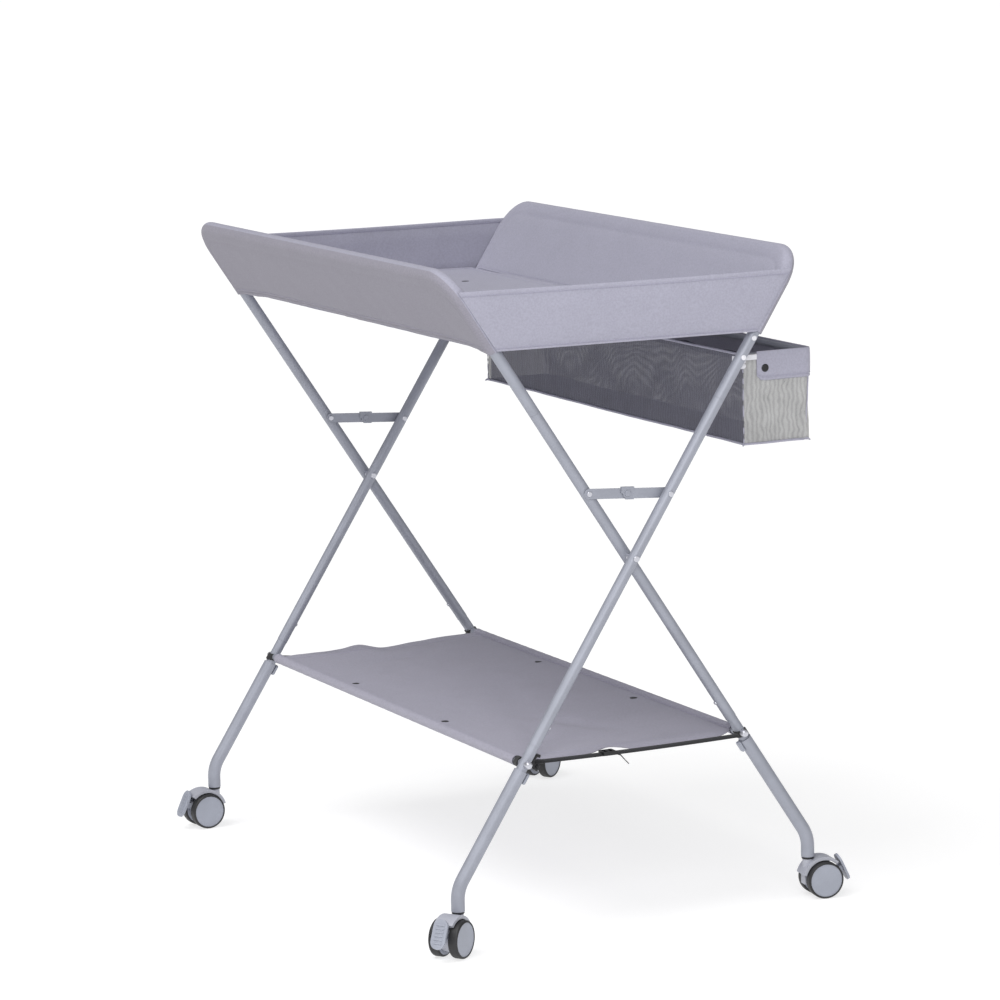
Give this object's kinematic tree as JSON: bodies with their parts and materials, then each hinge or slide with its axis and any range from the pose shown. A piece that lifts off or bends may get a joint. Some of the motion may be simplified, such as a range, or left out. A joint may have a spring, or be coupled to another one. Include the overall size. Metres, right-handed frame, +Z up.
{
  "type": "changing table",
  "caption": "Folding changing table: fabric tray on crossed tube legs with a cloth shelf, side mesh basket and braked twin-wheel casters.",
  "frame": {"origin": "centre of the bounding box at floor level, under the scissor pivots", "axes": "+Z up; +Y along the tray from the near end to the far end; +X towards the side basket"},
  "size_m": [0.6208, 0.8988, 0.8461],
  "materials": {
    "tube_paint": "fine satin powder coat, cool silver lavender",
    "rivet_steel": "plated rivets and domed caps",
    "cloth": "fine plain-weave coated polyester, pale lavender",
    "mesh": "open knitted mesh over coated cloth",
    "webbing": "black woven webbing",
    "black_plastic": "black moulded plastic",
    "bracket_plastic": "pale moulded plastic",
    "caster_grey": "grey moulded plastic",
    "tyre": "black polyurethane tread"
  },
  "bodies": {
    "frame_a": {"scissor_pivots": "rivet_steel", "frame_a_top_rail": "tube_paint", "frame_a_near_leg": "tube_paint", "frame_a_far_leg": "tube_paint", "frame_a_shelf_rod": "tube_paint", "frame_a_fasteners": "rivet_steel", "frame_a_side_cover": "cloth"},
    "frame_b": {"frame_b_top_rail": "tube_paint", "frame_b_near_leg": "tube_paint", "frame_b_far_leg": "tube_paint", "frame_b_shelf_rod": "tube_paint", "frame_b_fasteners": "rivet_steel", "frame_b_side_cover": "cloth", "basket_bag": "mesh", "basket_rim": "tube_paint", "basket_studs": "black_plastic", "basket_brackets": "bracket_plastic"},
    "near_brace_left": {"near_brace_left_link": "tube_paint"},
    "near_brace_right": {"near_brace_right_link": "tube_paint"},
    "far_brace_left": {"far_brace_left_link": "tube_paint"},
    "far_brace_right": {"far_brace_right_link": "tube_paint"},
    "tray_left": {"tray_floor_left": "cloth", "tray_studs_left": "black_plastic"},
    "near_wall_left": {"near_wall_left": "cloth"},
    "far_wall_left": {"far_wall_left": "cloth"},
    "tray_right": {"tray_floor_right": "cloth", "tray_studs_right": "black_plastic"},
    "near_wall_right": {"near_wall_right": "cloth"},
    "far_wall_right": {"far_wall_right": "cloth"},
    "shelf_right": {"shelf_cloth_right": "cloth", "shelf_studs_right": "black_plastic", "shelf_straps_right": "webbing"},
    "shelf_left": {"shelf_cloth_left": "cloth", "shelf_studs_left": "black_plastic", "shelf_straps_left": "webbing", "strap_slider": "black_plastic"},
    "frame_a_near_foot": {"frame_a_near_lower_leg": "tube_paint"},
    "frame_a_near_catch": {"frame_a_near_leg_catch": "black_plastic"},
    "frame_a_near_caster": {"frame_a_near_caster_housing": "caster_grey"},
    "frame_a_near_wheels": {"frame_a_near_caster_hubs": "caster_grey", "frame_a_near_caster_tyres": "tyre"},
    "frame_a_near_brake": {"frame_a_near_caster_brake": "caster_grey"},
    "frame_a_far_foot": {"frame_a_far_lower_leg": "tube_paint"},
    "frame_a_far_catch": {"frame_a_far_leg_catch": "black_plastic"},
    "frame_a_far_caster": {"frame_a_far_caster_housing": "caster_grey"},
    "frame_a_far_wheels": {"frame_a_far_caster_hubs": "caster_grey", "frame_a_far_caster_tyres": "tyre"},
    "frame_a_far_brake": {"frame_a_far_caster_brake": "caster_grey"},
    "frame_b_near_foot": {"frame_b_near_lower_leg": "tube_paint"},
    "frame_b_near_catch": {"frame_b_near_leg_catch": "black_plastic"},
    "frame_b_near_caster": {"frame_b_near_caster_housing": "caster_grey"},
    "frame_b_near_wheels": {"frame_b_near_caster_hubs": "caster_grey", "frame_b_near_caster_tyres": "tyre"},
    "frame_b_near_brake": {"frame_b_near_caster_brake": "caster_grey"},
    "frame_b_far_foot": {"frame_b_far_lower_leg": "tube_paint"},
    "frame_b_far_catch": {"frame_b_far_leg_catch": "black_plastic"},
    "frame_b_far_caster": {"frame_b_far_caster_housing": "caster_grey"},
    "frame_b_far_wheels": {"frame_b_far_caster_hubs": "caster_grey", "frame_b_far_caster_tyres": "tyre"},
    "frame_b_far_brake": {"frame_b_far_caster_brake": "caster_grey"}
  },
  "joints": [
    {"name": "fold", "type": "hinge", "parent": "frame_a", "child": "frame_b", "pos_m": [0.00013, 0.00064, 0.472], "axis": [0, -1, 0], "range_deg": [0, 46], "deforming": ["tray_floor_left", "shelf_cloth_right", "shelf_straps_right", "near_wall_left", "far_wall_left", "tray_floor_right", "shelf_cloth_left", "shelf_straps_left", "near_wall_right", "far_wall_right", "strap_slider", "tray_studs_left", "shelf_studs_right", "tray_studs_right", "shelf_studs_left"]},
    {"name": "near_brace_left_turn", "type": "hinge", "parent": "frame_a", "child": "near_brace_left", "pos_m": [-0.0546, -0.39936, 0.55629], "axis": [0, 1, 0], "range_deg": [-83.71, 0]},
    {"name": "near_brace_right_turn", "type": "hinge", "parent": "near_brace_left", "child": "near_brace_right", "pos_m": [-0.00218, -0.39936, 0.55272], "axis": [0, 1, 0], "range_deg": [0, 141.74]},
    {"name": "far_brace_left_turn", "type": "hinge", "parent": "frame_a", "child": "far_brace_left", "pos_m": [-0.0546, 0.40064, 0.55629], "axis": [0, 1, 0], "range_deg": [-83.71, 0]},
    {"name": "far_brace_right_turn", "type": "hinge", "parent": "far_brace_left", "child": "far_brace_right", "pos_m": [-0.00218, 0.40064, 0.55272], "axis": [0, 1, 0], "range_deg": [0, 141.74]},
    {"name": "tray_left_fold", "type": "hinge", "parent": "frame_a", "child": "tray_left", "pos_m": [-0.17633, 0.00064, 0.74373], "axis": [0, 1, 0], "range_deg": [0, 48.42]},
    {"name": "near_wall_left_fold", "type": "hinge", "parent": "frame_a", "child": "near_wall_left", "pos_m": [0.00013, -0.40126, 0.472], "axis": [-0.5446, 0, 0.8387], "range_deg": [0, 66.72]},
    {"name": "far_wall_left_fold", "type": "hinge", "parent": "frame_a", "child": "far_wall_left", "pos_m": [0.00013, 0.42254, 0.472], "axis": [-0.5446, 0, 0.8387], "range_deg": [-81.32, 0]},
    {"name": "tray_right_fold", "type": "hinge", "parent": "frame_b", "child": "tray_right", "pos_m": [0.17659, 0.00064, 0.74373], "axis": [0, 1, 0], "range_deg": [-48.42, 0]},
    {"name": "near_wall_right_fold", "type": "hinge", "parent": "frame_b", "child": "near_wall_right", "pos_m": [0.00013, -0.42126, 0.472], "axis": [0.5446, 0, 0.8387], "range_deg": [-81.32, 0]},
    {"name": "far_wall_right_fold", "type": "hinge", "parent": "frame_b", "child": "far_wall_right", "pos_m": [0.00013, 0.40254, 0.472], "axis": [0.5446, 0, 0.8387], "range_deg": [0, 66.72]},
    {"name": "shelf_right_fold", "type": "hinge", "parent": "frame_a", "child": "shelf_right", "pos_m": [0.15808, 0.00064, 0.22879], "axis": [0, 1, 0], "range_deg": [-94.43, 0]},
    {"name": "shelf_left_fold", "type": "hinge", "parent": "frame_b", "child": "shelf_left", "pos_m": [-0.15781, 0.00064, 0.22879], "axis": [0, 1, 0], "range_deg": [0, 94.43]},
    {"name": "frame_a_near_height", "type": "slide", "parent": "frame_a", "child": "frame_a_near_foot", "axis": [0.5446, 0, -0.8387], "range_m": [0, 0.09]},
    {"name": "frame_a_near_catch_pull", "type": "slide", "parent": "frame_a_near_foot", "child": "frame_a_near_catch", "axis": [-0.8387, 0, -0.5446], "range_m": [0, 0.0036], "stiffness_N_per_m": 150, "springref_m": -0.002},
    {"name": "frame_a_near_swivel", "type": "hinge", "parent": "frame_a_near_foot", "child": "frame_a_near_caster", "pos_m": [0.25393, -0.38936, 0.472], "axis": [0, 0, 1], "continuous": true},
    {"name": "frame_a_near_roll", "type": "hinge", "parent": "frame_a_near_caster", "child": "frame_a_near_wheels", "pos_m": [0.27176, -0.39186, 0.024], "axis": [0.1392, 0.9903, 0], "continuous": true},
    {"name": "frame_a_near_brake_press", "type": "hinge", "parent": "frame_a_near_caster", "child": "frame_a_near_brake", "pos_m": [0.29357, -0.39493, 0.0322], "axis": [0.1392, 0.9903, 0], "range_deg": [0, 10]},
    {"name": "frame_a_far_height", "type": "slide", "parent": "frame_a", "child": "frame_a_far_foot", "axis": [0.5446, 0, -0.8387], "range_m": [0, 0.09]},
    {"name": "frame_a_far_catch_pull", "type": "slide", "parent": "frame_a_far_foot", "child": "frame_a_far_catch", "axis": [-0.8387, 0, -0.5446], "range_m": [0, 0.0036], "stiffness_N_per_m": 150, "springref_m": -0.002},
    {"name": "frame_a_far_swivel", "type": "hinge", "parent": "frame_a_far_foot", "child": "frame_a_far_caster", "pos_m": [0.25393, 0.41064, 0.472], "axis": [0, 0, 1], "continuous": true},
    {"name": "frame_a_far_roll", "type": "hinge", "parent": "frame_a_far_caster", "child": "frame_a_far_wheels", "pos_m": [0.2692, 0.42018, 0.024], "axis": [-0.5299, 0.848, 0], "continuous": true},
    {"name": "frame_a_far_brake_press", "type": "hinge", "parent": "frame_a_far_caster", "child": "frame_a_far_brake", "pos_m": [0.28788, 0.43185, 0.0322], "axis": [-0.5299, 0.848, 0], "range_deg": [0, 10]},
    {"name": "frame_b_near_height", "type": "slide", "parent": "frame_b", "child": "frame_b_near_foot", "axis": [-0.5446, 0, -0.8387], "range_m": [0, 0.09]},
    {"name": "frame_b_near_catch_pull", "type": "slide", "parent": "frame_b_near_foot", "child": "frame_b_near_catch", "axis": [0.8387, 0, -0.5446], "range_m": [0, 0.0036], "stiffness_N_per_m": 150, "springref_m": -0.002},
    {"name": "frame_b_near_swivel", "type": "hinge", "parent": "frame_b_near_foot", "child": "frame_b_near_caster", "pos_m": [-0.25367, -0.40936, 0.472], "axis": [0, 0, 1], "continuous": true},
    {"name": "frame_b_near_roll", "type": "hinge", "parent": "frame_b_near_caster", "child": "frame_b_near_wheels", "pos_m": [-0.26838, -0.41973, 0.024], "axis": [0.5764, -0.8171, 0], "continuous": true},
    {"name": "frame_b_near_brake_press", "type": "hinge", "parent": "frame_b_near_caster", "child": "frame_b_near_brake", "pos_m": [-0.28638, -0.43243, 0.0322], "axis": [0.5764, -0.8171, 0], "range_deg": [0, 10]},
    {"name": "frame_b_far_height", "type": "slide", "parent": "frame_b", "child": "frame_b_far_foot", "axis": [-0.5446, 0, -0.8387], "range_m": [0, 0.09]},
    {"name": "frame_b_far_catch_pull", "type": "slide", "parent": "frame_b_far_foot", "child": "frame_b_far_catch", "axis": [0.8387, 0, -0.5446], "range_m": [0, 0.0036], "stiffness_N_per_m": 150, "springref_m": -0.002},
    {"name": "frame_b_far_swivel", "type": "hinge", "parent": "frame_b_far_foot", "child": "frame_b_far_caster", "pos_m": [-0.25367, 0.39064, 0.472], "axis": [0, 0, 1], "continuous": true},
    {"name": "frame_b_far_roll", "type": "hinge", "parent": "frame_b_far_caster", "child": "frame_b_far_wheels", "pos_m": [-0.27164, 0.38957, 0.024], "axis": [0.0593, -0.9982, 0], "continuous": true},
    {"name": "frame_b_far_brake_press", "type": "hinge", "parent": "frame_b_far_caster", "child": "frame_b_far_brake", "pos_m": [-0.29363, 0.38827, 0.0322], "axis": [0.0593, -0.9982, 0], "range_deg": [0, 10]}
  ],
  "couplings": [
    {"joint": "near_brace_left_turn", "follows": "fold", "ratio": -1.8193},
    {"joint": "near_brace_right_turn", "follows": "fold", "ratio": 3.0808},
    {"joint": "far_brace_left_turn", "follows": "fold", "ratio": -1.8193},
    {"joint": "far_brace_right_turn", "follows": "fold", "ratio": 3.0808},
    {"joint": "tray_left_fold", "follows": "fold", "ratio": 1.0523},
    {"joint": "near_wall_left_fold", "follows": "fold", "ratio": 1.45},
    {"joint": "far_wall_left_fold", "follows": "fold", "ratio": -1.7674},
    {"joint": "tray_right_fold", "follows": "fold", "ratio": -1.0523},
    {"joint": "near_wall_right_fold", "follows": "fold", "ratio": -1.7674},
    {"joint": "far_wall_right_fold", "follows": "fold", "ratio": 1.45},
    {"joint": "shelf_right_fold", "follows": "fold", "ratio": -2.0523},
    {"joint": "shelf_left_fold", "follows": "fold", "ratio": 2.0523}
  ]
}
